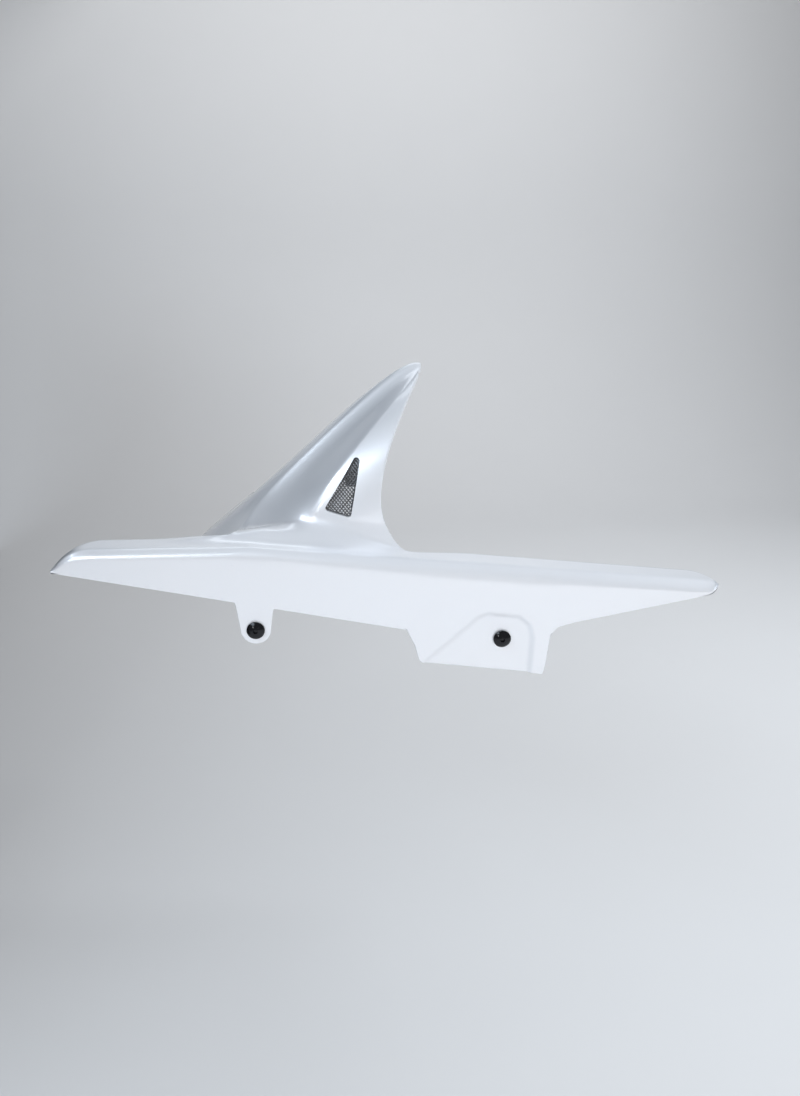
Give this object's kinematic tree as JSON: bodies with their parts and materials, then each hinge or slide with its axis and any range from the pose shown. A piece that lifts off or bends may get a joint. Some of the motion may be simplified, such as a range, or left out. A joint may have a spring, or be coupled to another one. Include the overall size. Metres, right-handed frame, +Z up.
{
  "type": "rear hugger mudguard",
  "caption": "Motorbike rear hugger: moulded white arch over the tyre with mesh-backed vents, joined to a long chain guard and held by screws in rubber grommets.",
  "frame": {"origin": "on the axis of the left rear fixing, where its collar seats on the swingarm", "axes": "+X towards the rear of the motorbike, +Y towards its right side, +Z up; the wheel axle crosses X 0.054, Y 0.1203, Z -0.076"},
  "size_m": [0.6078, 0.2589, 0.2776],
  "materials": {
    "white_shell": "gloss pearl white lacquer",
    "vent_mesh": "satin black",
    "black_screw": "gloss black",
    "grommet_rubber": "matte",
    "collar_steel": "bright zinc"
  },
  "bodies": {
    "root": {"hugger_shell": "white_shell", "left_vent_mesh": "vent_mesh", "right_vent_mesh": "vent_mesh", "left_rear_screw": "black_screw", "left_rear_grommet": "grommet_rubber", "left_rear_collar": "collar_steel", "left_front_screw": "black_screw", "left_front_grommet": "grommet_rubber", "left_front_collar": "collar_steel", "right_screw": "black_screw", "right_grommet": "grommet_rubber", "right_collar": "collar_steel"}
  },
  "joints": []
}
